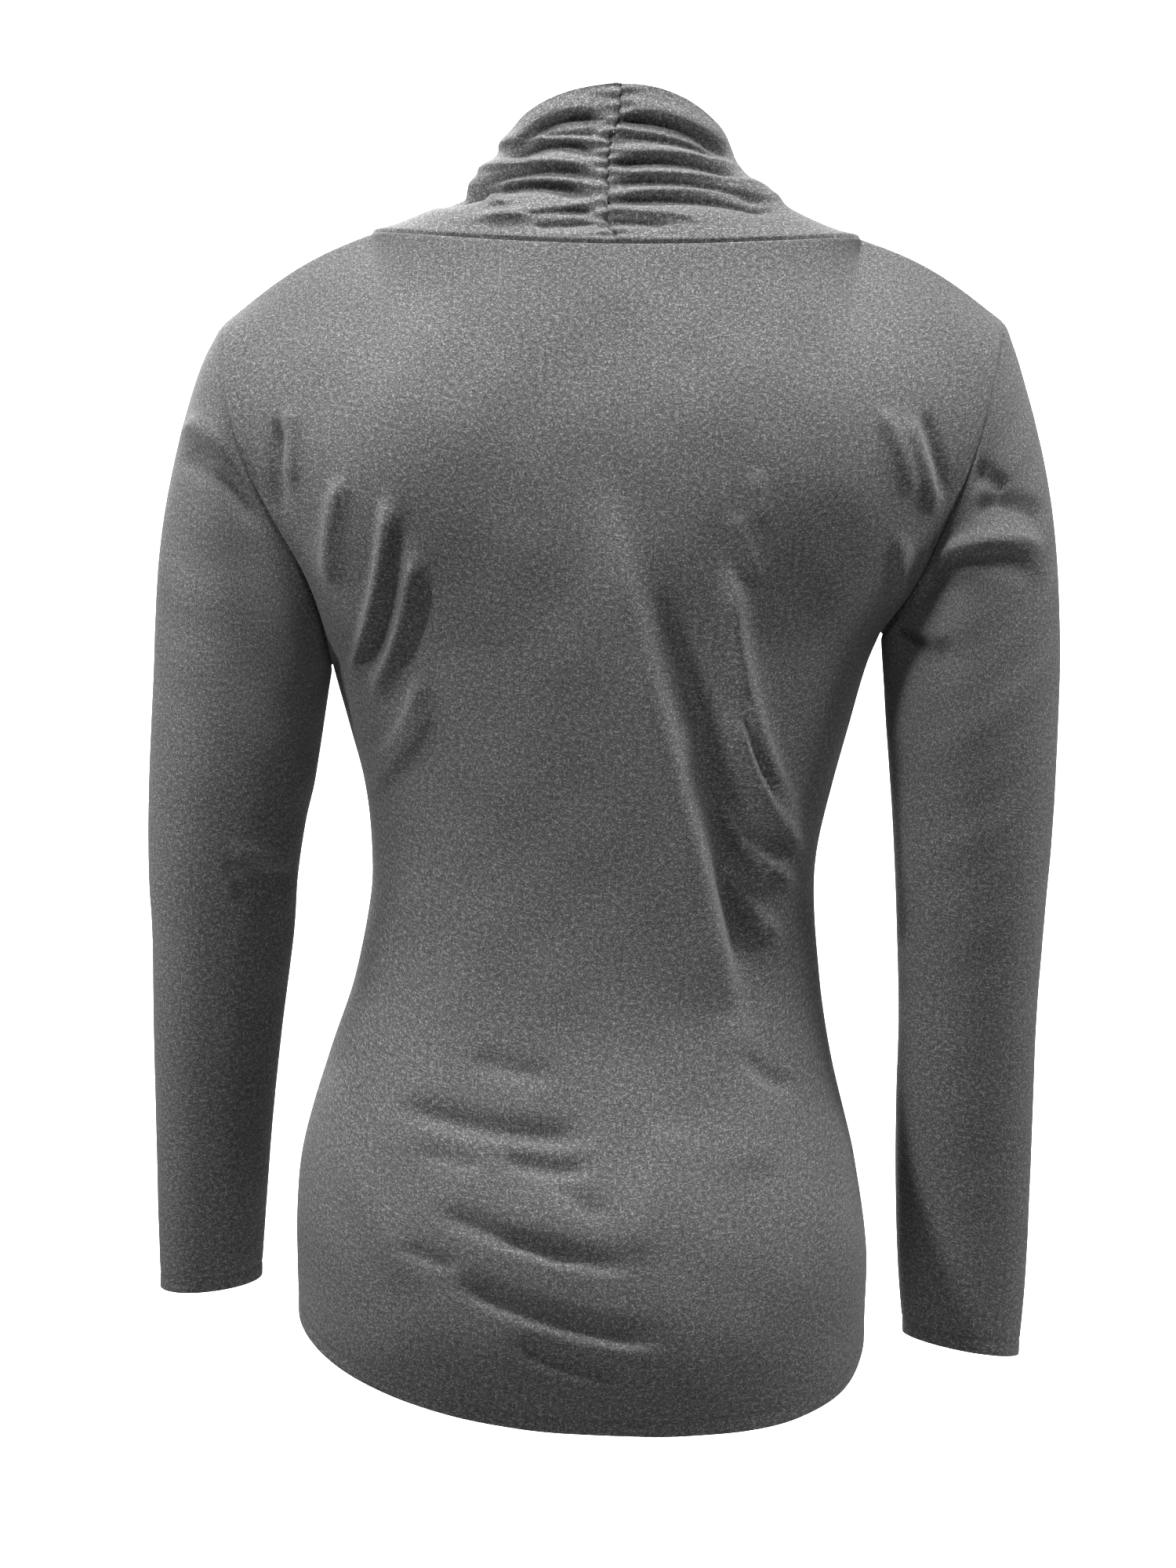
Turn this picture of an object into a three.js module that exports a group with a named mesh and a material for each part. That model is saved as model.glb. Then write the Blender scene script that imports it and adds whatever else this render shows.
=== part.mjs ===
// A long-sleeve fitted jersey top with a tall cowl collar that is ruched down its centre back, filled out as worn.
// Millimetres, +Z up. The back faces +Y and the wearer's left is +X. The origin is the middle of the neck base.
import * as THREE from "three";
import { mergeVertices } from "three/addons/utils/BufferGeometryUtils.js";

const cloth = { wall: 1.6, seam: 0.3, colour: 0x55565a, roughness: 0.92 };

// The neckline: half its width at the shoulders, then how far back, aside and forward it lies, and how high. The lean
// is how much higher its left corner is than the middle, and its right corner lower.
const neck = { half: 131, backY: 68, sideY: 2, frontY: -105, backZ: -6, sideZ: 2, frontZ: -125, lean: 1.5 };
// The collar's free edge, by the same measures. The hollow is how far its wall bows out between the two edges, and
// the lean is how much more it bows out on the left and less on the right.
const collar = {
  half: { back: 58, side: 66, front: 74 },
  y: { back: 50, side: -2, front: -110 },
  z: { back: 79.8, side: 32.5, front: -40 },
  hollow: { back: -3, side: -13, front: 11 },
  lean: 1,
};
// Where the shoulder seam meets the sleeve, and the lowest point of each armhole.
const shoulder = { left: { x: 211.7, z: -46.2 }, right: { x: -208.7, z: -45 } };
const underarm = { left: { x: 151.6, z: -228 }, right: { x: -141.5, z: -211 } };
const armholeDepth = 52;
// The share of a panel's top edge that the neck seam takes.
const neckShare = 0.6;
// The side seams end above the rounded tails, which hang a little lower and squarer on the right.
const hem = { sideZ: -569, backDrop: 63, frontDrop: 56, lean: 17, leftSquare: 1.1, rightSquare: 1.6 };
const roundness = 0.88;
const shoulderCrown = 6;

// Body sections: height, the side seams' places across, and the depths behind and before the side seams.
const bodySections = [
  { z: -208, right: -142.5, left: 156, back: 92, front: 122 },
  { z: -228, right: -134, left: 151.6, back: 91, front: 125 },
  { z: -259, right: -125, left: 143, back: 87, front: 121 },
  { z: -291, right: -116, left: 134.5, back: 82, front: 110 },
  { z: -324, right: -108, left: 131, back: 77, front: 100 },
  { z: -350, right: -106, left: 131.5, back: 74, front: 97 },
  { z: -396, right: -109, left: 140.5, back: 72, front: 99 },
  { z: -436, right: -115, left: 154, back: 76, front: 103 },
  { z: -489, right: -127, left: 168.5, back: 90, front: 107 },
  { z: -541, right: -134, left: 170.7, back: 106, front: 108 },
  { z: -585, right: -132, left: 169, back: 109, front: 107 },
  { z: -645, right: -130, left: 166, back: 99, front: 105 },
];

// How far across an armhole seam has gone from the underarm to the shoulder, by how far it has risen.
const armholeReach = [
  { rise: 0, left: 0, right: 0 },
  { rise: 0.12, left: 0.08, right: 0.23 },
  { rise: 0.27, left: 0.25, right: 0.42 },
  { rise: 0.45, left: 0.56, right: 0.62 },
  { rise: 0.62, left: 0.81, right: 0.77 },
  { rise: 0.8, left: 0.94, right: 0.88 },
  { rise: 1, left: 1, right: 1 },
];

// Sleeve sections, from the armhole to the cuff: the outer and the inner line of the sleeve as seen from behind,
// half the depth, how far the middle lies behind the shoulder, and how far the section leans forward in degrees.
const sleeveSections = {
  left: [
    { outX: 211.7, outZ: -46.2, inX: 151.6, inZ: -228, depth: 52, y: 0, lean: 0 },
    { outX: 224.5, outZ: -74, inX: 153.5, inZ: -240, depth: 53, y: 1, lean: 0 },
    { outX: 237.5, outZ: -123, inX: 155.5, inZ: -254, depth: 53, y: 2, lean: 0 },
    { outX: 245, outZ: -172, inX: 158.5, inZ: -274, depth: 51, y: 2, lean: 1 },
    { outX: 248, outZ: -236, inX: 161.5, inZ: -292, depth: 49, y: 1, lean: 4 },
    { outX: 250.5, outZ: -292, inX: 166, inZ: -311, depth: 46, y: -3, lean: 8 },
    { outX: 251, outZ: -335, inX: 170.5, inZ: -340, depth: 43, y: -9, lean: 13 },
    { outX: 249.5, outZ: -372, inX: 173, inZ: -372, depth: 41, y: -18, lean: 16 },
    { outX: 249.5, outZ: -424, inX: 180, inZ: -424, depth: 38, y: -33, lean: 17 },
    { outX: 249, outZ: -473, inX: 185.5, inZ: -473, depth: 35, y: -47, lean: 16 },
    { outX: 248.5, outZ: -522, inX: 189.5, inZ: -520, depth: 32, y: -60, lean: 13 },
    { outX: 247.5, outZ: -564, inX: 192.5, inZ: -558, depth: 30, y: -70, lean: 10 },
  ],
  right: [
    { outX: -208.7, outZ: -45, inX: -141.5, inZ: -211, depth: 52, y: 0, lean: 0 },
    { outX: -218.5, outZ: -76, inX: -142, inZ: -222, depth: 53, y: 1, lean: 0 },
    { outX: -229.5, outZ: -121, inX: -143, inZ: -238, depth: 53, y: 2, lean: 0 },
    { outX: -235.5, outZ: -165, inX: -144, inZ: -257, depth: 51, y: 3, lean: 0 },
    { outX: -237.5, outZ: -219, inX: -145.5, inZ: -279, depth: 49, y: 4, lean: 2 },
    { outX: -236, outZ: -271, inX: -147, inZ: -300, depth: 46, y: 3, lean: 4 },
    { outX: -233.5, outZ: -318, inX: -148.5, inZ: -326, depth: 44, y: 0, lean: 7 },
    { outX: -230, outZ: -360, inX: -150, inZ: -361, depth: 42, y: -5, lean: 9 },
    { outX: -226, outZ: -415, inX: -151.5, inZ: -415, depth: 39, y: -14, lean: 9 },
    { outX: -224.5, outZ: -463, inX: -150.5, inZ: -461, depth: 37, y: -22, lean: 9 },
    { outX: -223, outZ: -512, inX: -150.5, inZ: -507, depth: 35, y: -30, lean: 8 },
    { outX: -221, outZ: -559, inX: -152, inZ: -551, depth: 33, y: -37, lean: 7 },
    { outX: -217.5, outZ: -599, inX: -155, inZ: -587, depth: 31, y: -42, lean: 6 },
  ],
};

// Folds by piece, as seen from behind or before: where a fold starts and ends (x, z), how far it bows to the left of
// its way, half its width, and how far it rises out of the cloth or, below nought, sinks into it.
const folds = {
  back: [
    { from: [2, -150], to: [-60, -408], bow: 6, width: 13, rise: 3.6 },
    { from: [-28, -205], to: [-62, -372], bow: 8, width: 11, rise: -4.2 },
    { from: [-62, -372], to: [-54, -480], bow: 3, width: 13, rise: -2.4 },
    { from: [-58, -182], to: [-97, -314], bow: 8, width: 9, rise: 3.4 },
    { from: [-74, -206], to: [-106, -296], bow: 6, width: 8, rise: -2.6 },
    { from: [-61, -268], to: [-94, -337], bow: 8, width: 8, rise: 3.2 },
    { from: [-61, -318], to: [-82, -366], bow: 5, width: 7, rise: 2.8 },
    { from: [118, -145], to: [143, -230], bow: -5, width: 8, rise: 3 },
    { from: [107, -172], to: [125, -238], bow: -4, width: 8, rise: 2.4 },
    { from: [105, -238], to: [131, -280], bow: -5, width: 8, rise: 2.8 },
    { from: [146, -118], to: [149, -186], bow: 2, width: 8, rise: 2.6 },
    { from: [180, -98], to: [180, -150], bow: 0, width: 7, rise: -2.2 },
    { from: [-153, -100], to: [-168, -150], bow: 0, width: 8, rise: 2.4 },
    { from: [119, -460], to: [14, -480], bow: 3, width: 8, rise: -3.4 },
    { from: [98, -450], to: [24, -462], bow: 2, width: 9, rise: 2.2 },
    { from: [60, -488], to: [12, -498], bow: 2, width: 8, rise: -2.8 },
    { from: [94, -516], to: [-8, -546], bow: 4, width: 8, rise: -3 },
    { from: [84, -553], to: [-20, -586], bow: 4, width: 9, rise: -3.4 },
    { from: [70, -536], to: [-20, -565], bow: 4, width: 9, rise: 2 },
  ],
  front: [
    { from: [120, -190], to: [52, -262], bow: 8, width: 11, rise: 2.8 },
    { from: [-112, -184], to: [-50, -268], bow: -8, width: 11, rise: 3 },
    { from: [96, -300], to: [10, -372], bow: 10, width: 12, rise: 3 },
    { from: [-84, -306], to: [-4, -384], bow: -9, width: 11, rise: 2.8 },
    { from: [90, -424], to: [-30, -446], bow: -8, width: 11, rise: -3 },
    { from: [-88, -470], to: [36, -494], bow: 8, width: 11, rise: -2.8 },
    { from: [70, -520], to: [-50, -540], bow: -6, width: 11, rise: -2.6 },
  ],
  collarBack: [
    { from: [-4, 67], to: [-60, 47], bow: -8, width: 4.6, rise: 2.6 },
    { from: [-4, 60], to: [-62, 40], bow: -7, width: 4.2, rise: -3.2 },
    { from: [-12, 55], to: [-58, 42], bow: -4, width: 4, rise: 2.2 },
    { from: [-4, 49], to: [-46, 50], bow: 0, width: 4, rise: -2.6 },
    { from: [0, 41], to: [-54, 44], bow: -2, width: 4.6, rise: 2.8 },
    { from: [0, 35], to: [-46, 35], bow: -2, width: 4.2, rise: -2.6 },
    { from: [0, 31], to: [-82, 22], bow: -6, width: 4.6, rise: 2.6 },
    { from: [0, 26], to: [-74, 20], bow: -2, width: 4.2, rise: -2.8 },
    { from: [0, 20], to: [-94, 18], bow: -2, width: 5, rise: 2.6 },
    { from: [0, 14], to: [-62, 10], bow: 0, width: 4.6, rise: -2.2 },
    { from: [6, 66], to: [50, 52], bow: 8, width: 4.6, rise: -3.6 },
    { from: [6, 57], to: [40, 55], bow: 0, width: 4, rise: 2 },
    { from: [4, 50], to: [60, 45], bow: 3, width: 5.4, rise: 3.4 },
    { from: [6, 42], to: [54, 40], bow: 2, width: 4.8, rise: -2.8 },
    { from: [6, 34], to: [80, 31], bow: 5, width: 4.8, rise: 2.8 },
    { from: [6, 20], to: [92, 20], bow: 9, width: 4.8, rise: -3.6 },
    { from: [6, 16], to: [78, 8], bow: -3, width: 4.8, rise: 2.8 },
    { from: [6, 9], to: [46, 4], bow: 0, width: 4, rise: -1.8 },
  ],
  collarFront: [
    { from: [66, 18], to: [-66, 18], bow: 66, width: 8, rise: 4.5 },
    { from: [82, 12], to: [-80, 14], bow: 77, width: 7, rise: -4.5 },
    { from: [96, 6], to: [-92, 8], bow: 88, width: 8, rise: 5.5 },
    { from: [106, 2], to: [-104, 4], bow: 98, width: 7, rise: -4 },
    { from: [116, -4], to: [-112, -2], bow: 108, width: 7, rise: 3.5 },
  ],
  leftSleeveBack: [
    { from: [230, -114], to: [190, -150], bow: -5, width: 8, rise: -2.8 },
    { from: [232, -98], to: [196, -128], bow: -5, width: 8, rise: 2.2 },
    { from: [206, -334], to: [172, -342], bow: 0, width: 8, rise: -2.4 },
  ],
  leftSleeveFront: [
    { from: [228, -128], to: [176, -196], bow: 8, width: 9, rise: -2.8 },
    { from: [238, -330], to: [178, -322], bow: -5, width: 9, rise: -3 },
    { from: [236, -352], to: [184, -346], bow: -5, width: 9, rise: 2.6 },
  ],
  rightSleeveBack: [
    { from: [-158, -189], to: [-226, -180], bow: -11, width: 8, rise: -4.4 },
    { from: [-170, -172], to: [-226, -166], bow: -6, width: 8, rise: 4.2 },
    { from: [-188, -145], to: [-224, -147], bow: -3, width: 8, rise: -3 },
    { from: [-188, -120], to: [-210, -136], bow: 0, width: 8, rise: -3 },
  ],
  rightSleeveFront: [
    { from: [-214, -130], to: [-166, -192], bow: -8, width: 9, rise: -3 },
    { from: [-222, -322], to: [-158, -314], bow: 5, width: 9, rise: -2.8 },
    { from: [-220, -344], to: [-164, -338], bow: 5, width: 9, rise: 2.4 },
  ],
};

// Facets of each piece. Pieces that share a seam have the same number along it, so that their edges match.
const facets = { across: 30, armhole: 10, backBelow: 28, frontBelow: 16, collarUp: 18, sleeveLong: 24 };

const lerp = THREE.MathUtils.lerp;
const clamp = THREE.MathUtils.clamp;
const ease = (t) => THREE.MathUtils.smoothstep(t, 0, 1);
const vec = (x, y, z) => new THREE.Vector3(x, y, z);
const quarter = Math.PI / 2;

// A smooth curve through one column of a table whose rows are in order of the key column.
function readTable(rows, key, column, value) {
  const falling = rows[0][key] > rows[rows.length - 1][key];
  const along = rows.map((row) => (falling ? -row[key] : row[key]));
  const at = clamp(falling ? -value : value, along[0], along[along.length - 1]);
  let i = along.findIndex((next) => next > at) - 1;
  if (i < 0) i = along.length - 2;
  const slope = (k) => {
    const a = Math.max(k - 1, 0);
    const b = Math.min(k + 1, rows.length - 1);
    return (rows[b][column] - rows[a][column]) / (along[b] - along[a]);
  };
  const span = along[i + 1] - along[i];
  const t = (at - along[i]) / span;
  const bend = t * t * (3 - 2 * t);
  return (
    lerp(rows[i][column], rows[i + 1][column], bend) +
    span * (slope(i) * t * (1 - t) * (1 - t) - slope(i + 1) * t * t * (1 - t))
  );
}

// A value that goes smoothly round the neck through its back, side and front values. A turn of nought is the back.
function around(turn, back, side, front) {
  const swing = (back - front) / 2;
  const mean = (back + front) / 2;
  return (mean + side) / 2 + swing * Math.cos(turn) + ((mean - side) / 2) * Math.cos(2 * turn);
}

function neckLine(turn) {
  const c = Math.cos(turn);
  const fall = c > 0 ? (neck.backZ - neck.sideZ) * c * c : (neck.frontZ - neck.sideZ) * (-c) ** 1.6;
  return vec(
    -neck.half * Math.sin(turn),
    around(turn, neck.backY, neck.sideY, neck.frontY),
    neck.sideZ + fall - neck.lean * Math.sin(turn),
  );
}

// The way a wall faces at the neck seam: up and out, and nearly straight out in front.
function neckOut(turn) {
  const up = around(turn, 0.62, 0.87, 0.35);
  const out = Math.sqrt(1 - up * up);
  return vec(-out * Math.sin(turn), out * Math.cos(turn), up);
}

// The armhole seam is a loop. The angle is nought at the underarm and pi at the shoulder, and facing is 1 behind.
function armhole(side, facing, angle) {
  const rise = (1 - Math.cos(angle)) / 2;
  const reach = readTable(armholeReach, "rise", side, rise);
  return vec(
    lerp(underarm[side].x, shoulder[side].x, reach),
    facing * armholeDepth * Math.sin(angle),
    lerp(underarm[side].z, shoulder[side].z, rise),
  );
}

function armholeOut(side, facing, angle) {
  const outward = side === "left" ? 1 : -1;
  const rise = (1 - Math.cos(angle)) / 2;
  return vec(outward * 0.35 * rise, facing * Math.sin(angle), -Math.cos(angle)).normalize();
}

function shoulderOut(side) {
  const end = shoulder[side];
  const across = Math.abs(end.x) - neck.half;
  const drop = neck.sideZ - end.z;
  return vec(Math.sign(end.x) * drop, 0, across).normalize();
}

// How far the folds of a table lift the cloth at a place seen from behind or before.
function relief(table, x, z) {
  const steps = 10;
  let lift = 0;
  for (const fold of table) {
    const run = vec(fold.to[0] - fold.from[0], 0, fold.to[1] - fold.from[1]);
    const aside = vec(-run.z, 0, run.x).normalize();
    let nearest = Infinity;
    let part = 0;
    for (let k = 0; k <= steps; k++) {
      const t = k / steps;
      const bow = fold.bow * 4 * t * (1 - t);
      const dx = fold.from[0] + run.x * t + aside.x * bow - x;
      const dz = fold.from[1] + run.z * t + aside.z * bow - z;
      const gap = Math.hypot(dx, dz);
      if (gap < nearest) {
        nearest = gap;
        part = t;
      }
    }
    const taper = ease(clamp(Math.min(part, 1 - part) / 0.2 + 0.25, 0, 1));
    lift += fold.rise * taper * Math.exp(-((nearest / fold.width) ** 2));
  }
  return lift;
}

// The rounded tail: the hem's height by the angle round the body.
function hemHeight(facing, across) {
  const drop = (facing > 0 ? hem.backDrop : hem.frontDrop) - hem.lean * across;
  const square = across < 0 ? hem.rightSquare : hem.leftSquare;
  return hem.sideZ - drop * Math.cos(quarter * across) ** (1 / square);
}

// A body panel below the arms. Across runs from -1 at the right side seam to 1 at the left one.
function bodySection(facing, across, z) {
  const left = readTable(bodySections, "z", "left", z);
  const right = readTable(bodySections, "z", "right", z);
  const depth = readTable(bodySections, "z", facing > 0 ? "back" : "front", z);
  const swing = Math.sin(quarter * across);
  const bulge = Math.abs(Math.cos(quarter * across)) ** roundness;
  const middle = (left + right) / 2;
  const half = (left - right) / 2;
  return vec(
    middle + half * Math.sign(swing) * Math.abs(swing) ** roundness,
    facing * depth * (Math.abs(across) > 0.9999 ? 0 : bulge),
    z,
  );
}

// The top of a body panel: the neck seam between the two shoulder seams.
function panelTop(facing, across) {
  const reach = Math.abs(across);
  if (reach <= neckShare) {
    const turn = (-across / neckShare) * quarter;
    return neckLine(facing > 0 ? turn : Math.PI - turn);
  }
  const end = across > 0 ? shoulder.left : shoulder.right;
  const start = vec(Math.sign(across) * neck.half, neck.sideY, neck.sideZ + Math.sign(across) * neck.lean);
  const t = (reach - neckShare) / (1 - neckShare);
  const point = start.lerp(vec(end.x, 0, end.z), t);
  point.z += shoulderCrown * Math.sin(Math.PI * t);
  return point;
}

// The same top with its corners rounded off, which shapes the panel below its edge.
function softTop(facing, across) {
  const reach = Math.abs(across);
  const end = across > 0 ? shoulder.left : shoulder.right;
  const back = facing > 0;
  const level = Math.cos(quarter * across) ** 2;
  const middleZ = back ? neck.backZ : lerp(neck.sideZ, neck.frontZ, Math.max(0, 1 - reach / neckShare) ** 1.4);
  return vec(
    Math.abs(end.x) * across,
    (back ? neck.backY : neck.frontY) * level,
    middleZ + (end.z - neck.backZ) * reach ** 3.5,
  );
}

// The height of the underarms on a panel that runs from 0 at the hem to 1 at the top.
function chestShare(facing) {
  const below = facing > 0 ? facets.backBelow : facets.frontBelow;
  return below / (below + facets.armhole);
}

// A body panel as a surface, from the hem up.
function panelPoint(facing, across, rise) {
  const chest = chestShare(facing);
  const armpit = lerp(underarm.right.z, underarm.left.z, (across + 1) / 2);
  if (rise <= chest) {
    return bodySection(facing, across, lerp(hemHeight(facing, across), armpit, rise / chest));
  }
  const s = (rise - chest) / (1 - chest);
  const side = across > 0 ? "left" : "right";
  const seam = armhole(side, facing, Math.PI * s);
  const edge = Math.abs(across) ** 4;
  const low = bodySection(facing, across, armpit);
  const top = softTop(facing, across).lerp(panelTop(facing, across), s ** 4);
  const seamRise = (1 - Math.cos(Math.PI * s)) / 2;
  const seamReach = (seam.x - underarm[side].x) / (shoulder[side].x - underarm[side].x);
  const swell = facing > 0
    ? lerp(14, armholeDepth, ease(Math.abs(across) / 0.8))
    : lerp(4, armholeDepth, ease(Math.abs(across)));
  const up = lerp(s, seamRise, edge);
  return vec(
    lerp(low.x, top.x, lerp(s, seamReach, edge)),
    lerp(low.y, top.y, up) + facing * swell * Math.sin(Math.PI * s),
    lerp(low.z, top.z, up),
  );
}

// The way a panel's edge faces where it meets another piece, or null inside the panel.
function panelEdge(facing, across, rise) {
  const side = across > 0 ? "left" : "right";
  const atSide = Math.abs(across) > 0.9999;
  const chest = chestShare(facing);
  if (atSide && rise >= chest - 0.0001) {
    return armholeOut(side, facing, (Math.PI * (rise - chest)) / (1 - chest));
  }
  if (atSide) return vec(Math.sign(across), 0, 0);
  if (rise < 0.9999) return null;
  if (Math.abs(across) > neckShare + 0.0001) return shoulderOut(side);
  const turn = (-across / neckShare) * quarter;
  return neckOut(facing > 0 ? turn : Math.PI - turn);
}

function sleeveSection(side, along) {
  const rows = sleeveSections[side].map((row, i, all) => ({ ...row, at: i / (all.length - 1) }));
  const read = (column) => readTable(rows, "at", column, along);
  return {
    out: vec(read("outX"), 0, read("outZ")),
    inner: vec(read("inX"), 0, read("inZ")),
    depth: read("depth"),
    y: read("y"),
    lean: THREE.MathUtils.degToRad(read("lean")),
  };
}

// A sleeve as a surface. The angle is nought on the outer line and a quarter turn on the back.
function sleevePoint(side, angle, along) {
  const section = sleeveSection(side, along);
  const rise = (1 + Math.cos(angle)) / 2;
  const seam = readTable(armholeReach, "rise", side, rise);
  const reach = lerp(seam, rise, ease(along / 0.3));
  const back = section.depth * Math.sin(angle);
  return vec(
    lerp(section.inner.x, section.out.x, reach) + (side === "left" ? cloth.seam : -cloth.seam),
    section.y + back * Math.cos(section.lean),
    lerp(section.inner.z, section.out.z, rise) - back * Math.sin(section.lean),
  );
}

// The collar as a surface, from the neck seam to its free edge.
function collarPoint(turn, rise) {
  const low = neckLine(turn);
  const half = around(turn, collar.half.back, collar.half.side, collar.half.front);
  const top = vec(
    -half * Math.sin(turn),
    around(turn, collar.y.back, collar.y.side, collar.y.front),
    around(turn, collar.z.back, collar.z.side, collar.z.front),
  );
  const bow = around(turn, collar.hollow.back, collar.hollow.side, collar.hollow.front) - collar.lean * Math.sin(turn);
  low.addScaledVector(top.clone().sub(low).normalize(), cloth.seam);
  const point = low.lerp(top, rise);
  const swell = bow * Math.sin(Math.PI * rise);
  point.x -= swell * Math.sin(turn);
  point.y += swell * Math.cos(turn);
  return point;
}

// The outward direction of a surface at a place, from two short steps along it.
function facingOf(surface, u, v, span) {
  const step = 0.002;
  const u0 = span.wraps ? u - step : Math.max(u - step, span.low);
  const u1 = span.wraps ? u + step : Math.min(u + step, span.high);
  const v0 = Math.max(v - step, 0);
  const v1 = Math.min(v + step, 1);
  const along = surface(u1, v).sub(surface(u0, v));
  const up = surface(u, v1).sub(surface(u, v0));
  return along.cross(up).normalize();
}

// The cloth's outer or inner skin at a place: folds lift both, so the wall keeps its thickness and never crosses itself.
function skin(piece, u, v, outside) {
  const out = piece.edge(u, v) ?? facingOf(piece.surface, u, v, piece.span);
  const point = piece.surface(u, v);
  const lift = piece.lift(point, u, v) - (outside ? 0 : cloth.wall);
  return point.addScaledVector(out, lift);
}

function finish(name, geometry, place) {
  geometry.deleteAttribute("normal");
  geometry.deleteAttribute("uv");
  const spots = geometry.getAttribute("position");
  const spot = new THREE.Vector3();
  for (let i = 0; i < spots.count; i++) {
    spot.fromBufferAttribute(spots, i);
    const moved = place(spot);
    spots.setXYZ(i, moved.x, moved.y, moved.z);
  }
  const whole = mergeVertices(geometry, 1e-3);
  whole.computeVertexNormals();
  const material = new THREE.MeshStandardMaterial({
    color: cloth.colour,
    roughness: cloth.roughness,
    metalness: 0,
    side: THREE.DoubleSide,
  });
  const mesh = new THREE.Mesh(whole, material);
  mesh.name = name;
  return mesh;
}

// A flat piece of cloth: a thin box in segments, bent on to its surface.
function flatPiece(name, across, up, piece) {
  const sheet = new THREE.BoxGeometry(2, 1, 2, across, up, 1);
  return finish(name, sheet, (p) => skin(piece, p.x, p.y + 0.5, p.z > 0));
}

// A tube of cloth: a ring turned from a closed profile, bent on to its surface.
function tubePiece(name, aroundCount, along, piece) {
  const profile = [];
  for (let k = 0; k <= along; k++) profile.push(new THREE.Vector2(2, k / along));
  for (let k = along; k >= 0; k--) profile.push(new THREE.Vector2(1, k / along));
  profile.push(new THREE.Vector2(2, 0));
  const ring = new THREE.LatheGeometry(profile, aroundCount);
  return finish(name, ring, (p) => {
    const angle = Math.atan2(p.x, p.z);
    return skin(piece, angle, p.y, Math.hypot(p.x, p.z) > 1.5);
  });
}

function bodyPanel(name, facing, table, below) {
  const shift = (facing * cloth.seam) / 2;
  // Across is turned with the facing, so that the panel's outside faces away from the body.
  const surface = (u, v) => {
    const point = panelPoint(facing, -facing * u, v);
    point.y += shift;
    return point;
  };
  return flatPiece(name, facets.across, below + facets.armhole, {
    surface,
    span: { low: -1, high: 1, wraps: false },
    edge: (u, v) => panelEdge(facing, -facing * u, v),
    lift: (point, u, v) => {
      const inside = ease(clamp((1 - Math.abs(u)) / 0.12, 0, 1));
      const below = ease(clamp((1 - v) / 0.06, 0, 1));
      return inside * below * relief(table, point.x, point.z);
    },
  });
}

function sleeve(name, side, backFolds, frontFolds) {
  // The right sleeve runs round the other way, so that its outside faces out as well.
  const turned = side === "left" ? 1 : -1;
  return tubePiece(name, 2 * facets.armhole, facets.sleeveLong, {
    surface: (angle, along) => sleevePoint(side, turned * angle, 1 - along),
    span: { wraps: true },
    edge: (angle, along) => {
      if (along < 0.9999) return null;
      const back = Math.sign(Math.sin(turned * angle)) || 1;
      return armholeOut(side, back, Math.PI - Math.abs(Math.atan2(Math.sin(angle), Math.cos(angle))));
    },
    lift: (point, angle, along) => {
      const back = Math.sin(turned * angle);
      const clear = ease(clamp((1 - along) / 0.06, 0, 1)) * ease(clamp(Math.abs(back) * 1.6, 0, 1));
      return clear * relief(back > 0 ? backFolds : frontFolds, point.x, point.z);
    },
  });
}

function collarPiece(name) {
  const turnOf = (u) => Math.PI * (u + 1);
  return flatPiece(name, 2 * neckShare * facets.across, facets.collarUp, {
    surface: (u, v) => {
      const point = collarPoint(turnOf(u), v);
      point.x += (cloth.seam / 2) * Math.sign(u) * ease(clamp(Math.abs(u) * 4 - 3, 0, 1));
      return point;
    },
    span: { low: -1, high: 1, wraps: false },
    edge: (u, v) => (v < 0.0001 ? neckOut(turnOf(u)) : null),
    lift: (point, u, v) => {
      const back = Math.cos(turnOf(u));
      const table = back > 0 ? folds.collarBack : folds.collarFront;
      const clear = ease(clamp(v / 0.08, 0, 1)) * ease(clamp(Math.abs(back) * 4, 0, 1));
      return clear * relief(table, point.x, point.z);
    },
  });
}

const top = new THREE.Group();
top.add(bodyPanel("back_panel", 1, folds.back, facets.backBelow));
top.add(bodyPanel("front_panel", -1, folds.front, facets.frontBelow));
top.add(sleeve("left_sleeve", "left", folds.leftSleeveBack, folds.leftSleeveFront));
top.add(sleeve("right_sleeve", "right", folds.rightSleeveBack, folds.rightSleeveFront));
top.add(collarPiece("collar"));

export default top;
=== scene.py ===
import math

import bmesh
import bpy
import numpy as np
from mathutils import Matrix, Vector


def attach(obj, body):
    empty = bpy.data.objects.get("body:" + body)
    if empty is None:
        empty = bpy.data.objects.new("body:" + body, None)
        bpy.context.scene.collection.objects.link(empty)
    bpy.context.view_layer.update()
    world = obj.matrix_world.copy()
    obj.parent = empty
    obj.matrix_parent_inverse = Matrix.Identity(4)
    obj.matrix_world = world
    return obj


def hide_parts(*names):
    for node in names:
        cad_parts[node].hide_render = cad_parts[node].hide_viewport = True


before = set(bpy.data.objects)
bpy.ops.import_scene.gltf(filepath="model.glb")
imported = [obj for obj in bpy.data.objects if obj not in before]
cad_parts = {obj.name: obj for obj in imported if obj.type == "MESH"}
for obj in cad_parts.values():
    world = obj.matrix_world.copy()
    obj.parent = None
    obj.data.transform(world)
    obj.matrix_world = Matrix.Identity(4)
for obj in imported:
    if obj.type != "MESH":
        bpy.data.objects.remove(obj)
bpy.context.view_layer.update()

mm = 0.001
quarter = math.pi / 2

# camera at the photo's angle: straight at the back, a little below the middle of the top
view = {
    "metresToPixel": 0.42 * mm,
    "pixelOfOrigin": (786, 306),
    "pixelOfMiddle": (750, 1000),
    "pixelsHigh": 2000,
    "distance": 4.4,
    "sensor": 36,
}


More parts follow.
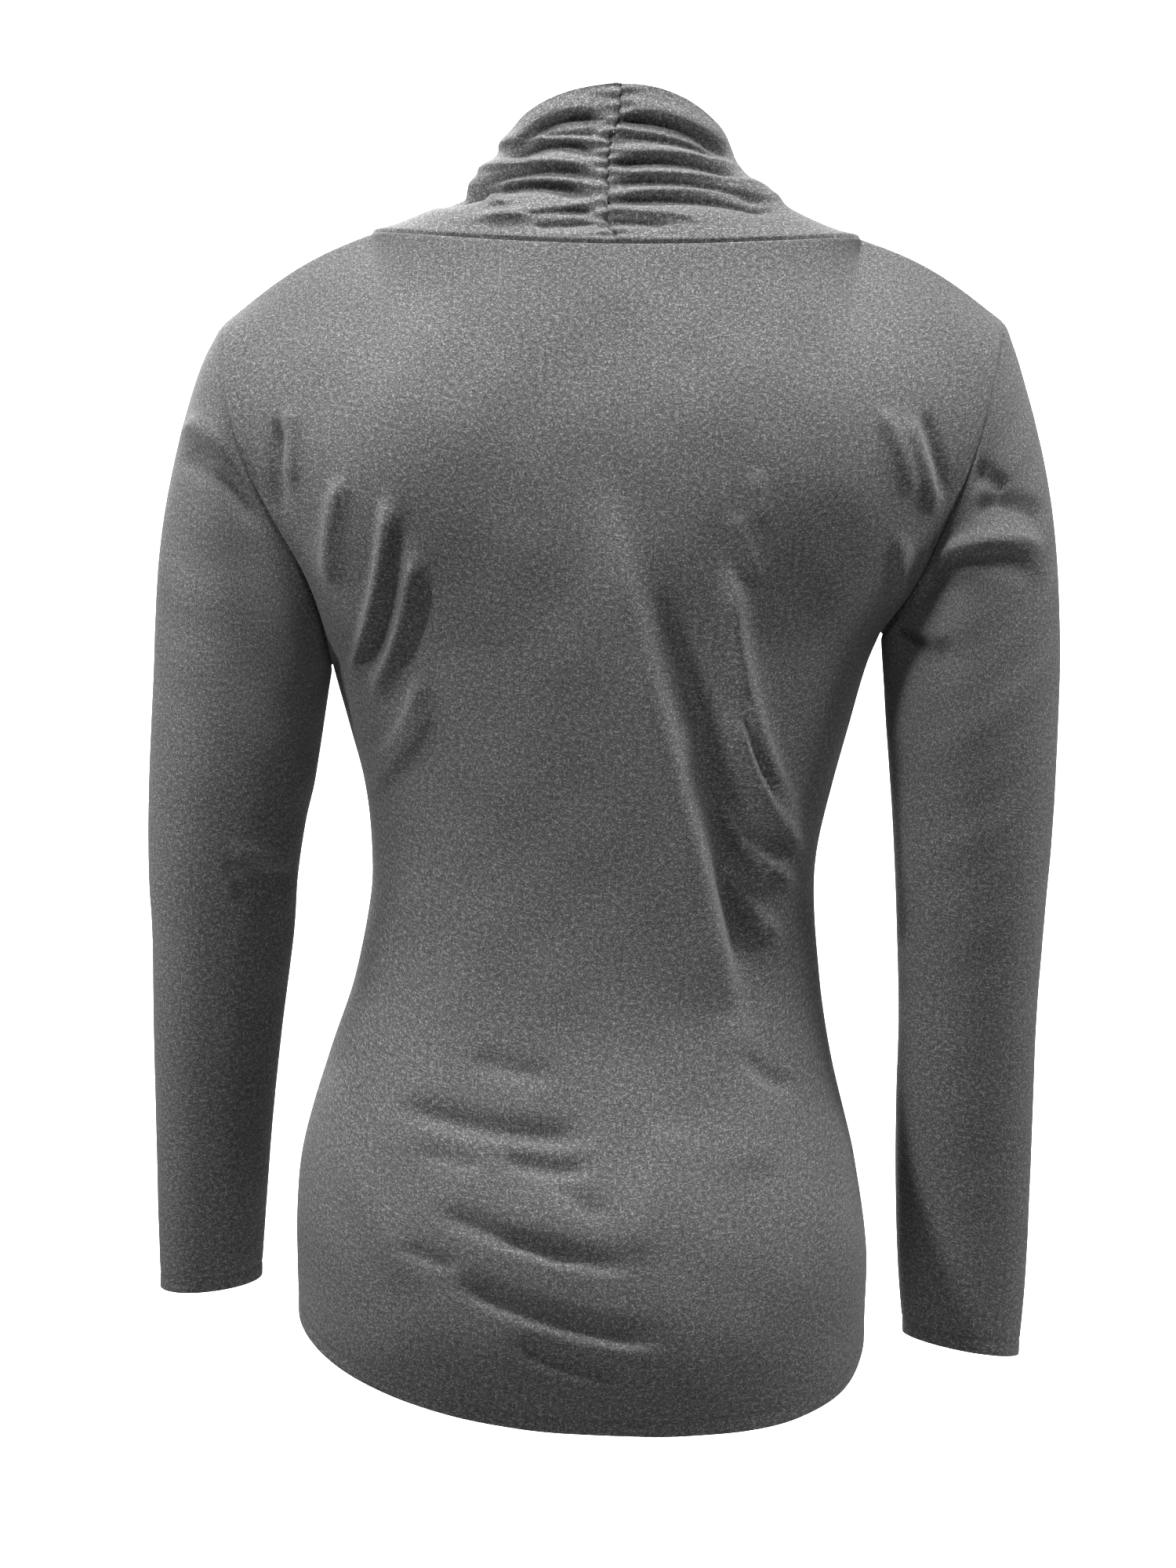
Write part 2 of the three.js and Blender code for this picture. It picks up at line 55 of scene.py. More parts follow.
def makeCamera():
    data = bpy.data.cameras.new("camera")
    data.sensor_width = view["sensor"]
    data.lens = view["sensor"] * view["distance"] / (view["pixelsHigh"] * view["metresToPixel"])
    camera = bpy.data.objects.new("camera", data)
    across = (view["pixelOfOrigin"][0] - view["pixelOfMiddle"][0]) * view["metresToPixel"]
    height = (view["pixelOfOrigin"][1] - view["pixelOfMiddle"][1]) * view["metresToPixel"]
    camera.location = (across, view["distance"], height)
    camera.rotation_euler = (quarter, 0, math.pi)
    bpy.context.scene.collection.objects.link(camera)
    bpy.context.scene.camera = camera


makeCamera()
print("camera made")


# helpers for smooth tables and curves

def lerp(a, b, t):
    return a + (b - a) * t


def ease(t):
    t = np.clip(t, 0, 1)
    return t * t * (3 - 2 * t)


def readTable(rows, key, column, value):
    # a smooth curve through one column of a table in order of its key
    along = np.array([row[key] for row in rows], float)
    level = np.array([row[column] for row in rows], float)
    value = np.asarray(value, float)
    if along[0] > along[-1]:
        along, value = -along, -value
    last = len(along) - 1
    low = np.maximum(np.arange(last + 1) - 1, 0)
    high = np.minimum(np.arange(last + 1) + 1, last)
    slope = (level[high] - level[low]) / (along[high] - along[low])
    i = np.clip(np.searchsorted(along, value, side="right") - 1, 0, last - 1)
    span = along[i + 1] - along[i]
    t = np.clip((value - along[i]) / span, 0, 1)
    sway = slope[i] * t * (1 - t) ** 2 - slope[i + 1] * t * t * (1 - t)
    return lerp(level[i], level[i + 1], ease(t)) + span * sway


def roundTheNeck(turn, back, side, front):
    swing = (back - front) / 2
    mean = (back + front) / 2
    return (mean + side) / 2 + swing * np.cos(turn) + (mean - side) / 2 * np.cos(2 * turn)


def crowdedSteps(count, crowd):
    # even steps from 0 to 1, closer together at both ends
    t = np.linspace(0, 1, count + 1)
    return t - crowd * np.sin(2 * math.pi * t) / (2 * math.pi)


def gridNormals(points, wraps):
    # the outward way at each point of a grid of rows and columns
    if wraps:
        ring = np.concatenate([points[:, -2:-1], points, points[:, 1:2]], axis=1)
        along = (ring[:, 2:] - ring[:, :-2]) / 2
    else:
        along = np.gradient(points, axis=1)
    up = np.gradient(points, axis=0)
    out = np.cross(along, up)
    return out / np.maximum(np.linalg.norm(out, axis=2, keepdims=True), 1e-12)


def foldLift(folds, x, z, valleyPower=2.0):
    # each fold, in millimetres: start x and z, end x and z, bow to the left of its way, width above and
    # below, rise; a valley has a negative rise, and a lower power gives it a sharper bottom
    lift = np.zeros_like(x)
    for x0, z0, x1, z1, bow, above, below, rise in folds:
        reach = 3 * max(above, below) + abs(bow)
        near = (x > min(x0, x1) - reach) & (x < max(x0, x1) + reach)
        near &= (z > min(z0, z1) - reach) & (z < max(z0, z1) + reach)
        if not near.any():
            continue
        length = math.hypot(x1 - x0, z1 - z0)
        wayX, wayZ = (x1 - x0) / length, (z1 - z0) / length
        leftX, leftZ = -wayZ, wayX
        px, pz = x[near], z[near]
        best = np.full(px.shape, 1e9)
        part = np.zeros_like(px)
        for t in np.linspace(0, 1, 25):
            hump = bow * 4 * t * (1 - t)
            gap = np.hypot(x0 + (x1 - x0) * t + leftX * hump - px,
                           z0 + (z1 - z0) * t + leftZ * hump - pz)
            closer = gap < best
            best = np.where(closer, gap, best)
            part = np.where(closer, t, part)
        run = np.clip((px - x0) * wayX + (pz - z0) * wayZ, 0, length) / length
        aside = (px - x0) * leftX + (pz - z0) * leftZ - bow * 4 * run * (1 - run)
        tilt = 1 / np.sqrt(1 + (bow * 4 * (1 - 2 * run) / length) ** 2)
        beyond = np.maximum(np.abs((px - x0) * wayX + (pz - z0) * wayZ - length / 2) - length / 2, 0)
        aside = aside * tilt
        upper = leftZ > 0 if abs(wayX) >= abs(wayZ) else leftX > 0
        width = np.where((aside > 0) == upper, above, below)
        taper = ease(np.minimum(run, 1 - run) / 0.22 + 0.2)
        end = np.exp(-((beyond / (0.8 * max(above, below))) ** 2))
        power = valleyPower if rise < 0 else 2.0
        lift[near] += rise * taper * end * np.exp(-(np.abs(aside / width) ** power))
    return lift


def swellLift(swells, x, z):
    # each swell: middle x and z, half width and half height, rise
    return sum(rise * np.exp(-(((x - x0) / wide) ** 2) - ((z - z0) / high) ** 2)
               for x0, z0, wide, high, rise in swells)


def softWaves(x, z, waves, side):
    # a slight unevenness of the cloth from a few crossing waves
    draw = np.random.default_rng(waves["seed"] + side)
    total = np.zeros_like(x)
    for _ in range(waves["count"]):
        angle = draw.uniform(0, math.pi)
        length = draw.uniform(*waves["lengths"])
        phase = draw.uniform(0, 2 * math.pi)
        total += np.sin((x * math.cos(angle) + z * math.sin(angle)) * 2 * math.pi / length + phase)
    return total * waves["height"] / math.sqrt(waves["count"])


def clothMap(points, middle):
    # the cloth's own flat measure: along each row from the middle column, and up from the hem
    across = np.linalg.norm(np.diff(points, axis=1), axis=2)
    u = np.concatenate([np.zeros((len(points), 1)), np.cumsum(across, axis=1)], axis=1)
    u -= u[:, middle:middle + 1]
    up = np.linalg.norm(np.diff(points, axis=0), axis=2)
    v = np.concatenate([np.zeros((1, points.shape[1])), np.cumsum(up, axis=0)], axis=0)
    return np.stack([u, v], axis=2)


clothThickness = 1.2 * mm


def clothObject(name, points, uv, closed):
    rows, columns = points.shape[:2]
    bm = bmesh.new()
    bmesh.ops.create_grid(bm, x_segments=columns - 1, y_segments=rows - 1, size=1)
    layer = bm.loops.layers.uv.new("clothMap")
    place = {}
    for vert in bm.verts:
        i = round((vert.co.x + 1) / 2 * (columns - 1))
        j = round((vert.co.y + 1) / 2 * (rows - 1))
        place[vert] = (j, i)
        vert.co = points[j, i]
    for face in bm.faces:
        face.smooth = True
        for loop in face.loops:
            loop[layer].uv = uv[place[loop.vert]]
    if closed:
        bmesh.ops.remove_doubles(bm, verts=bm.verts, dist=1e-6)
    mesh = bpy.data.meshes.new(name)
    bm.to_mesh(mesh)
    bm.free()
    piece = bpy.data.objects.new(name, mesh)
    bpy.context.scene.collection.objects.link(piece)
    mesh.materials.append(jerseyCloth)
    wall = piece.modifiers.new("wall", "SOLIDIFY")
    wall.thickness = clothThickness
    wall.offset = -1
    return piece


def lineAcross(points, out, height, level):
    # the line at one height on every column of a grid, and the way that the cloth faces along it
    line, facing = [], []
    for j in range(points.shape[1]):
        i = int(np.clip(np.searchsorted(height[:, j], level), 1, len(height) - 1))
        t = (level - height[i - 1, j]) / max(height[i, j] - height[i - 1, j], 1e-9)
        line.append(lerp(points[i - 1, j], points[i, j], t))
        facing.append(lerp(out[i - 1, j], out[i, j], t))
    return np.array(line), np.array(facing)


def makeStitches(name, line, facing):
    # one row of stitches: a small bead of thread at each step along the line
    run = np.concatenate([[0], np.cumsum(np.linalg.norm(np.diff(line, axis=0), axis=1))])
    steps = np.arange(thread["pitch"] / 2, run[-1], thread["pitch"])
    place = np.stack([np.interp(steps, run, line[:, k]) for k in range(3)], axis=1)
    up = np.stack([np.interp(steps, run, facing[:, k]) for k in range(3)], axis=1)
    ahead = np.stack([np.interp(steps + 0.5, run, line[:, k]) - np.interp(steps - 0.5, run, line[:, k])
                      for k in range(3)], axis=1)
    bm = bmesh.new()
    for spot, lift, way in zip(place, up, ahead):
        way = Vector(way).normalized()
        lift = (Vector(lift) - Vector(lift).project(way)).normalized()
        turn = Matrix((way, way.cross(lift) * -1, lift)).transposed().to_4x4()
        size = Matrix.Diagonal((thread["length"] / 2, thread["width"] / 2, thread["height"] / 2, 1))
        spot = Matrix.Translation(spot + np.array(lift) * thread["proud"])
        bmesh.ops.create_icosphere(bm, subdivisions=1, radius=1, matrix=spot @ turn @ size)
    bmesh.ops.scale(bm, vec=(mm, mm, mm), verts=bm.verts)
    bmesh.ops.recalc_face_normals(bm, faces=bm.faces)
    for face in bm.faces:
        face.smooth = True
    mesh = bpy.data.meshes.new(name)
    bm.to_mesh(mesh)
    bm.free()
    stitches = bpy.data.objects.new(name, mesh)
    bpy.context.scene.collection.objects.link(stitches)
    mesh.materials.append(seamThread)
    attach(stitches, "root")
    return stitches


# materials

jersey = {
    "dark": (0.032, 0.0315, 0.032, 1),
    "middle": (0.084, 0.083, 0.084, 1),
    "pale": (0.26, 0.259, 0.256, 1),
    "wale": 1.15 * mm,
    "course": 0.95 * mm,
    "fleck": 2.2 * mm,
}


def addNode(tree, kind, inputs=None, **settings):
    node = tree.nodes.new(kind)
    for key, value in settings.items():
        setattr(node, key, value)
    for key, value in (inputs or {}).items():
        if isinstance(value, bpy.types.NodeSocket):
            tree.links.new(value, node.inputs[key])
        else:
            node.inputs[key].default_value = value
    return node


def maths(tree, kind, a, b):
    return addNode(tree, "ShaderNodeMath", {0: a, 1: b}, operation=kind).outputs[0]


def makeJersey():
    material = bpy.data.materials.new("heatherJersey")
    material.use_nodes = True
    tree = material.node_tree
    shader = tree.nodes["Principled BSDF"]
    place = addNode(tree, "ShaderNodeUVMap", uv_map="clothMap").outputs[0]
    flat = addNode(tree, "ShaderNodeSeparateXYZ", {0: place})
    u, v = flat.outputs[0], flat.outputs[1]

    # yarn flecks, a little longer along the courses
    fleckPlace = addNode(tree, "ShaderNodeMapping", {"Vector": place, "Scale": (0.85, 1.0, 1.0)}).outputs[0]
    coarse = addNode(tree, "ShaderNodeTexNoise", {
        "Vector": fleckPlace, "Scale": 1 / jersey["fleck"], "Detail": 2.0, "Roughness": 0.65}).outputs["Fac"]
    fine = addNode(tree, "ShaderNodeTexNoise", {
        "Vector": fleckPlace, "Scale": 2.6 / jersey["fleck"], "Detail": 1.0, "Roughness": 0.5}).outputs["Fac"]
    blend = addNode(tree, "ShaderNodeMix", {0: 0.6, 2: coarse, 3: fine}).outputs[0]
    tones = addNode(tree, "ShaderNodeValToRGB", {0: blend})
    ramp = tones.color_ramp
    ramp.elements[0].position = 0.34
    ramp.elements[0].color = jersey["dark"]
    ramp.elements[1].position = 0.7
    ramp.elements[1].color = jersey["pale"]
    middle = ramp.elements.new(0.52)
    middle.color = jersey["middle"]

    # slow light and dark over the cloth; a map range takes the value, its old limits and its new ones
    cloudy = addNode(tree, "ShaderNodeTexNoise", {
        "Vector": place, "Scale": 14.0, "Detail": 2.0}).outputs["Fac"]
    cloud = addNode(tree, "ShaderNodeMapRange", {0: cloudy, 1: 0.3, 2: 0.7, 3: 0.92, 4: 1.08}).outputs[0]
    colour = addNode(tree, "ShaderNodeVectorMath", {0: tones.outputs[0], "Scale": cloud}, operation="SCALE")
    tree.links.new(colour.outputs[0], shader.inputs["Base Color"])

    # knit: columns of leaning stitches
    wale = maths(tree, "MULTIPLY", u, 1 / jersey["wale"])
    lean = maths(tree, "ABSOLUTE", maths(tree, "SUBTRACT", maths(tree, "FRACT", wale, 0.0), 0.5), 0.0)
    level = maths(tree, "MULTIPLY", v, 1 / jersey["course"])
    course = maths(tree, "ADD", level, maths(tree, "MULTIPLY", lean, 1.1))
    loop = maths(tree, "SINE", maths(tree, "MULTIPLY", course, 2 * math.pi), 0.0)
    groove = maths(tree, "SINE", maths(tree, "MULTIPLY", lean, 2 * math.pi), 0.0)
    loopShare = maths(tree, "MULTIPLY", loop, 0.35)
    stitch = maths(tree, "ADD", loopShare, maths(tree, "MULTIPLY", groove, 0.65))
    fuzz = maths(tree, "MULTIPLY", fine, 0.8)
    height = maths(tree, "ADD", stitch, fuzz)
    bump = addNode(tree, "ShaderNodeBump", {"Height": height, "Strength": 0.16, "Distance": 0.25 * mm})
    tree.links.new(bump.outputs[0], shader.inputs["Normal"])
    rough = addNode(tree, "ShaderNodeMapRange", {0: coarse, 1: 0.3, 2: 0.7, 3: 0.96, 4: 0.84}).outputs[0]
    tree.links.new(rough, shader.inputs["Roughness"])
    shader.inputs["Specular IOR Level"].default_value = 0.25
    shader.inputs["Sheen Weight"].default_value = 0.1
    shader.inputs["Sheen Roughness"].default_value = 0.5
    shader.inputs["Sheen Tint"].default_value = (0.8, 0.8, 0.82, 1)
    return material


# one bead of thread and its place in the row, in millimetres
thread = {
    "pitch": 3.4,
    "length": 2.7,
    "width": 0.6,
    "height": 0.5,
    "proud": 0.1,
    "dark": (0.05, 0.05, 0.051, 1),
    "pale": (0.15, 0.15, 0.15, 1),
}


def makeThread():
    material = bpy.data.materials.new("seamThread")
    material.use_nodes = True
    tree = material.node_tree
    shader = tree.nodes["Principled BSDF"]
    place = addNode(tree, "ShaderNodeTexCoord").outputs["Object"]
    twist = addNode(tree, "ShaderNodeTexNoise", {
        "Vector": place, "Scale": 1800.0, "Detail": 2.0}).outputs["Fac"]
    tones = addNode(tree, "ShaderNodeValToRGB", {0: twist})
    tones.color_ramp.elements[0].color = thread["dark"]
    tones.color_ramp.elements[1].color = thread["pale"]
    tree.links.new(tones.outputs[0], shader.inputs["Base Color"])
    bump = addNode(tree, "ShaderNodeBump", {"Height": twist, "Strength": 0.4, "Distance": 0.1 * mm})
    tree.links.new(bump.outputs[0], shader.inputs["Normal"])
    shader.inputs["Roughness"].default_value = 0.7
    return material


jerseyCloth = makeJersey()
seamThread = makeThread()
print("materials made")

# the cut on a general figure, in millimetres

neck = {"half": 131, "backY": 68, "sideY": 2, "frontY": -105, "backZ": -6, "sideZ": 2, "frontZ": -125,
        "lean": 1.5}
shoulder = {"left": (211.7, -46.2), "right": (-208.7, -45)}
underarm = {"left": (151.6, -228), "right": (-141.5, -211)}
armholeDepth = 52
neckShare = 0.6
shoulderCrown = 6
# how far a panel swells out at its middle, and the share of its width to the full swell
panelSwell = {"back": (14, 0.8), "front": (4, 1.0)}
hem = {"sideZ": -569, "backDrop": 63, "frontDrop": 56, "lean": 17, "leftSquare": 1.1, "rightSquare": 1.6}
bodyRoundness = 0.88
seamGap = 0.1

bodySections = [
    {"z": -208, "right": -142.5, "left": 156, "back": 92, "front": 122},
    {"z": -228, "right": -134, "left": 151.6, "back": 91, "front": 125},
    {"z": -259, "right": -125, "left": 143, "back": 87, "front": 121},
    {"z": -291, "right": -116, "left": 134.5, "back": 82, "front": 110},
    {"z": -324, "right": -108, "left": 131, "back": 77, "front": 100},
    {"z": -350, "right": -106, "left": 131.5, "back": 74, "front": 97},
    {"z": -396, "right": -109, "left": 140.5, "back": 72, "front": 99},
    {"z": -436, "right": -115, "left": 154, "back": 76, "front": 103},
    {"z": -489, "right": -127, "left": 168.5, "back": 90, "front": 107},
    {"z": -541, "right": -134, "left": 170.7, "back": 106, "front": 108},
    {"z": -585, "right": -132, "left": 169, "back": 109, "front": 107},
    {"z": -645, "right": -130, "left": 166, "back": 99, "front": 105},
]

armholeReach = [
    {"rise": 0, "left": 0, "right": 0},
    {"rise": 0.12, "left": 0.08, "right": 0.23},
    {"rise": 0.27, "left": 0.25, "right": 0.42},
    {"rise": 0.45, "left": 0.56, "right": 0.62},
    {"rise": 0.62, "left": 0.81, "right": 0.77},
    {"rise": 0.8, "left": 0.94, "right": 0.88},
    {"rise": 1, "left": 1, "right": 1},
]


def neckLine(turn):
    c = np.cos(turn)
    back = (neck["backZ"] - neck["sideZ"]) * np.maximum(c, 0) ** 2
    front = (neck["frontZ"] - neck["sideZ"]) * np.maximum(-c, 0) ** 1.6
    y = roundTheNeck(turn, neck["backY"], neck["sideY"], neck["frontY"])
    height = neck["sideZ"] + back + front - neck["lean"] * np.sin(turn)
    return np.stack([-neck["half"] * np.sin(turn), y, height], axis=-1)


def armholeSeam(across, s):
    # both armhole seams at once: the side is read from the sign of across
    rise = (1 - np.cos(math.pi * s)) / 2
    left = readTable(armholeReach, "rise", "left", rise)
    right = readTable(armholeReach, "rise", "right", rise)
    reach = np.where(across > 0, left, right)
    return rise, reach


def hemHeight(facing, across):
    drop = (hem["backDrop"] if facing > 0 else hem["frontDrop"]) - hem["lean"] * across
    square = np.where(across < 0, hem["rightSquare"], hem["leftSquare"])
    return hem["sideZ"] - drop * np.maximum(np.cos(quarter * across), 0) ** (1 / square)


def bodySection(facing, across, z):
    left = readTable(bodySections, "z", "left", z)
    right = readTable(bodySections, "z", "right", z)
    depth = readTable(bodySections, "z", "back" if facing > 0 else "front", z)
    swing = np.sin(quarter * across)
    bulge = np.maximum(np.cos(quarter * across), 0) ** bodyRoundness
    bulge = np.where(np.abs(across) > 0.9999, 0, bulge)
    x = (left + right) / 2 + (left - right) / 2 * np.sign(swing) * np.abs(swing) ** bodyRoundness
    return np.stack([x, facing * depth * bulge, z], axis=-1)


def panelTop(facing, across):
    reach = np.abs(across)
    turn = -across / neckShare * quarter
    seam = neckLine(turn if facing > 0 else math.pi - turn)
    endX = np.where(across > 0, shoulder["left"][0], shoulder["right"][0])
    endZ = np.where(across > 0, shoulder["left"][1], shoulder["right"][1])
    t = np.clip((reach - neckShare) / (1 - neckShare), 0, 1)
    slope = np.stack([
        lerp(np.sign(across) * neck["half"], endX, t),
        lerp(neck["sideY"], 0, t),
        lerp(neck["sideZ"] + np.sign(across) * neck["lean"], endZ, t) + shoulderCrown * np.sin(math.pi * t),
    ], axis=-1)
    hard = np.where((reach <= neckShare)[..., None], seam, slope)
    back = facing > 0
    level = np.cos(quarter * across) ** 2
    scoop = lerp(neck["sideZ"], neck["frontZ"], np.maximum(0, 1 - reach / neckShare) ** 1.4)
    middleZ = np.full_like(across, neck["backZ"]) if back else scoop
    soft = np.stack([
        np.abs(endX) * across,
        (neck["backY"] if back else neck["frontY"]) * level,
        middleZ + (endZ - neck["backZ"]) * reach ** 3.5,
    ], axis=-1)
    return hard, soft


def panelPoints(facing, across, rise, chest):
    # the panel from the hem (0) through the underarms (chest) to the shoulder and neck seams (1)
    armpit = lerp(underarm["right"][1], underarm["left"][1], (across + 1) / 2)
    lower = bodySection(facing, across, lerp(hemHeight(facing, across), armpit, np.clip(rise / chest, 0, 1)))
    s = np.clip((rise - chest) / (1 - chest), 0, 1)
    seamRise, seamReach = armholeSeam(across, s)
    edge = np.abs(across) ** 4
    low = bodySection(facing, across, armpit)
    hard, soft = panelTop(facing, across)
    top = lerp(soft, hard, (s ** 4)[..., None])
    middle, wide = panelSwell["back" if facing > 0 else "front"]
    swell = lerp(middle, armholeDepth, ease(np.abs(across) / wide))
    up = lerp(s, seamRise, edge)
    upper = np.stack([
        lerp(low[..., 0], top[..., 0], lerp(s, seamReach, edge)),
        lerp(low[..., 1], top[..., 1], up) + facing * swell * np.sin(math.pi * s),
        lerp(low[..., 2], top[..., 2], up),
    ], axis=-1)
    points = np.where((rise <= chest)[..., None], lower, upper)
    points[..., 1] += facing * seamGap / 2
    return points


# depth and width of the dip along each kind of seam, and the hem's line of stitches above the edge
seams = {
    "neck": (0.4, 1.0),
    "side": (0.9, 2.0),
    "armhole": (0.9, 2.0),
    "hem": (0.5, 1.0),
    "collar": (1.6, 1.1),
    "gather": (1.3, 1.6),
}
hemLine = 8.0
hemSwell = 0.35


def seamDip(distance, kind):
    depth, width = seams[kind]
    return -depth * np.exp(-((distance / width) ** 2))


def hemLift(fromEdge):
    # the turned-up cloth stands a little proud below its line of stitches
    return seamDip(fromEdge - hemLine, "hem") + hemSwell * ease(1 - fromEdge / hemLine)


# body panels; the back's creases follow the photo, and the front's are plain

backPanel = {
    "columns": 190,
    "rows": 236,
    "chest": 0.66,
    "flat": (0.44, 0.66),
    "area": 0.235,
    "folds": [
        (6, -140, -64, -420, 0, 17, 6, 9.0),
        (-25, -186, -70, -398, -4, 8, 13, -12.5),
        (-59, -176, -96, -318, 8, 4, 6, 10.0),
        (-67, -236, -92, -308, 6, 3.5, 4.5, -5.0),
        (-62, -252, -97, -330, 6, 4, 5.5, 11.0),
        (-62, -296, -86, -334, 5, 3.5, 4, -4.5),
        (-59, -302, -93, -346, 5, 4, 5.5, 10.0),
        (-60, -334, -86, -374, 3, 4, 5.5, 8.0),
        (-73, -128, -76, -156, 0, 3.5, 4, 2.6),
        (-60, -150, -76, -186, 0, 3.5, 4, 3.0),
        (144, -130, 151, -186, 3, 4.5, 5, 4.4),
        (120, -140, 140, -234, -4, 3.6, 6, 7.0),
        (112, -146, 132, -228, -4, 5, 6, -2.2),
        (108, -168, 129, -246, -5, 3.6, 6, 7.0),
        (98, -178, 120, -244, -4, 5, 7, -2.2),
        (104, -236, 130, -281, -6, 3.6, 5, 6.4),
        (98, -248, 130, -292, -5, 3.6, 4.5, 5.6),
        (96, -240, 122, -288, -6, 4, 5, -1.6),
        (178, -98, 180, -150, 0, 4, 5, -4.6),
        (172, -92, 174, -134, 0, 4, 5, 3.6),
        (-152, -98, -170, -150, 0, 4, 6, 4.5),
        (-162, -96, -174, -142, 0, 4, 4, -3.6),
        (-138, -94, -156, -140, -2, 4, 5, 3.6),
        (-148, -160, -153, -194, 0, 4, 6, 4.0),
        (117, -462, 16, -479, 4, 8, 3.0, -4.6),
        (76, -438, 34, -448, 0, 6, 2.8, -2.6),
        (58, -489, 15, -495, 3, 6, 2.6, -4.0),
        (34, -499, 8, -520, 1, 5, 3.2, -3.0),
        (96, -516, -8, -546, 4, 7, 3.0, -4.2),
        (60, -530, 22, -543, 0, 5, 2.6, -2.4),
        (84, -554, -20, -584, 5, 8, 3.0, -5.0),
        (52, -586, -8, -602, 3, 7, 3.2, -3.8),
        (104, -486, 70, -494, 0, 5, 3, -2.0),
        (112, -536, 84, -546, 0, 5, 3, -2.0),
        (-66, -436, -94, -453, 2, 4, 3.4, -3.0),
        (-30, -470, -8, -540, 0, 12, 12, 2.4),
        (150, -440, 100, -560, 8, 10, 7, 2.8),
        (-62, -410, -76, -500, 0, 16, 9, 3.4),
    ],
    "swells": [
        (20, -520, 110, 34, 3.0),
        (0, -590, 120, 30, 3.0),
        (70, -100, 60, 50, 3.0),
        (-70, -100, 60, 50, 3.0),
        (-85, -230, 34, 60, -5.0),
    ],
}

frontPanel = {
    "columns": 170,
    "rows": 190,
    "chest": 0.62,
    "flat": (0.44, 0.60),
    "area": 0.215,
    "folds": [
        (120, -190, 52, -262, 8, 10, 12, 2.8),
        (-112, -184, -50, -268, -8, 10, 12, 3.0),
        (96, -300, 10, -372, 10, 12, 10, 3.0),
        (-84, -306, -4, -384, -9, 11, 9, 2.8),
        (90, -424, -30, -446, -8, 7, 11, -3.0),
        (-88, -470, 36, -494, 8, 7, 11, -2.8),
        (70, -520, -50, -540, -6, 7, 11, -2.6),
    ],
    "swells": [(0, -560, 110, 40, 3.0)],
}


panelWaves = {"seed": 11, "count": 7, "lengths": (30, 90), "height": 0.35}


def dress(piece, node):
    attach(piece, "root")
    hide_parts(node)


def armholeOut(outward, facing, rise):
    # the way both cloths face at an armhole seam
    swing = 2 * np.sqrt(np.clip(rise * (1 - rise), 0, 1))
    out = np.stack([outward * 0.35 * rise, facing * swing, 2 * rise - 1], axis=-1)
    return out / np.linalg.norm(out, axis=-1, keepdims=True)


def neckOut(turn):
    up = roundTheNeck(turn, 0.62, 0.87, 0.35)
    side = np.sqrt(1 - up * up)
    return np.stack([-side * np.sin(turn), side * np.cos(turn), up], axis=-1)


def faceSeams(out, across, rise, facing, chest):
    # a panel's edges face the way that the seams do
    for edge in (0, -1):
        outward = np.sign(across[0, edge])
        s = np.clip((rise[:, edge] - chest) / (1 - chest), 0, 1)
        arm = armholeOut(outward, facing, (1 - np.cos(math.pi * s)) / 2)
        out[:, edge] = np.where((rise[:, edge] >= chest)[:, None], arm, [outward, 0, 0])
    reach = np.abs(across[-1])
    turn = -across[-1] / neckShare * quarter
    top = neckOut(turn if facing > 0 else math.pi - turn)
    slope = np.stack([np.sign(across[-1]) * 0.5, 0 * reach, 0 * reach + 0.87], axis=-1)
    out[-1] = np.where((reach <= neckShare)[:, None], top, slope)


def makePanel(name, node, facing, spec):
    u = crowdedSteps(spec["columns"], 0.45) * 2 - 1
    v = crowdedSteps(spec["rows"], 0.6)
    rise, along = np.meshgrid(v, u, indexing="ij")
    across = -facing * along
    points = panelPoints(facing, across, rise, spec["chest"])
    out = gridNormals(points, False)
    faceSeams(out, across, rise, facing, spec["chest"])
    uv = clothMap(points * mm, spec["columns"] // 2)
    x, z = points[..., 0], points[..., 2]
    inside = ease((1 - np.abs(across)) / 0.1) * ease((1 - rise) / 0.05)
    lift = foldLift(spec["folds"], x, z) + swellLift(spec["swells"], x, z)
    lift = inside * (lift + softWaves(x, z, panelWaves, facing))
    fromTop = uv[-1:, :, 1] / mm - uv[..., 1] / mm
    fromHem = uv[..., 1] / mm
    edgeLow = (uv[..., 0] - uv[:, :1, 0]) / mm
    edgeHigh = (uv[:, -1:, 0] - uv[..., 0]) / mm
    lift += seamDip(fromTop, "neck") + seamDip(edgeLow, "side") + seamDip(edgeHigh, "side")
    lift += hemLift(fromHem)
    shaped = points + out * lift[..., None]
    piece = clothObject(name, shaped * mm, uv, False)
    stitches = makeStitches(name + "HemStitches", *lineAcross(shaped, out, fromHem, hemLine))
    dress(piece, node)


makePanel("backCloth", "back_panel", 1, backPanel)
makePanel("frontCloth", "front_panel", -1, frontPanel)
print("body panels made")

# sleeves

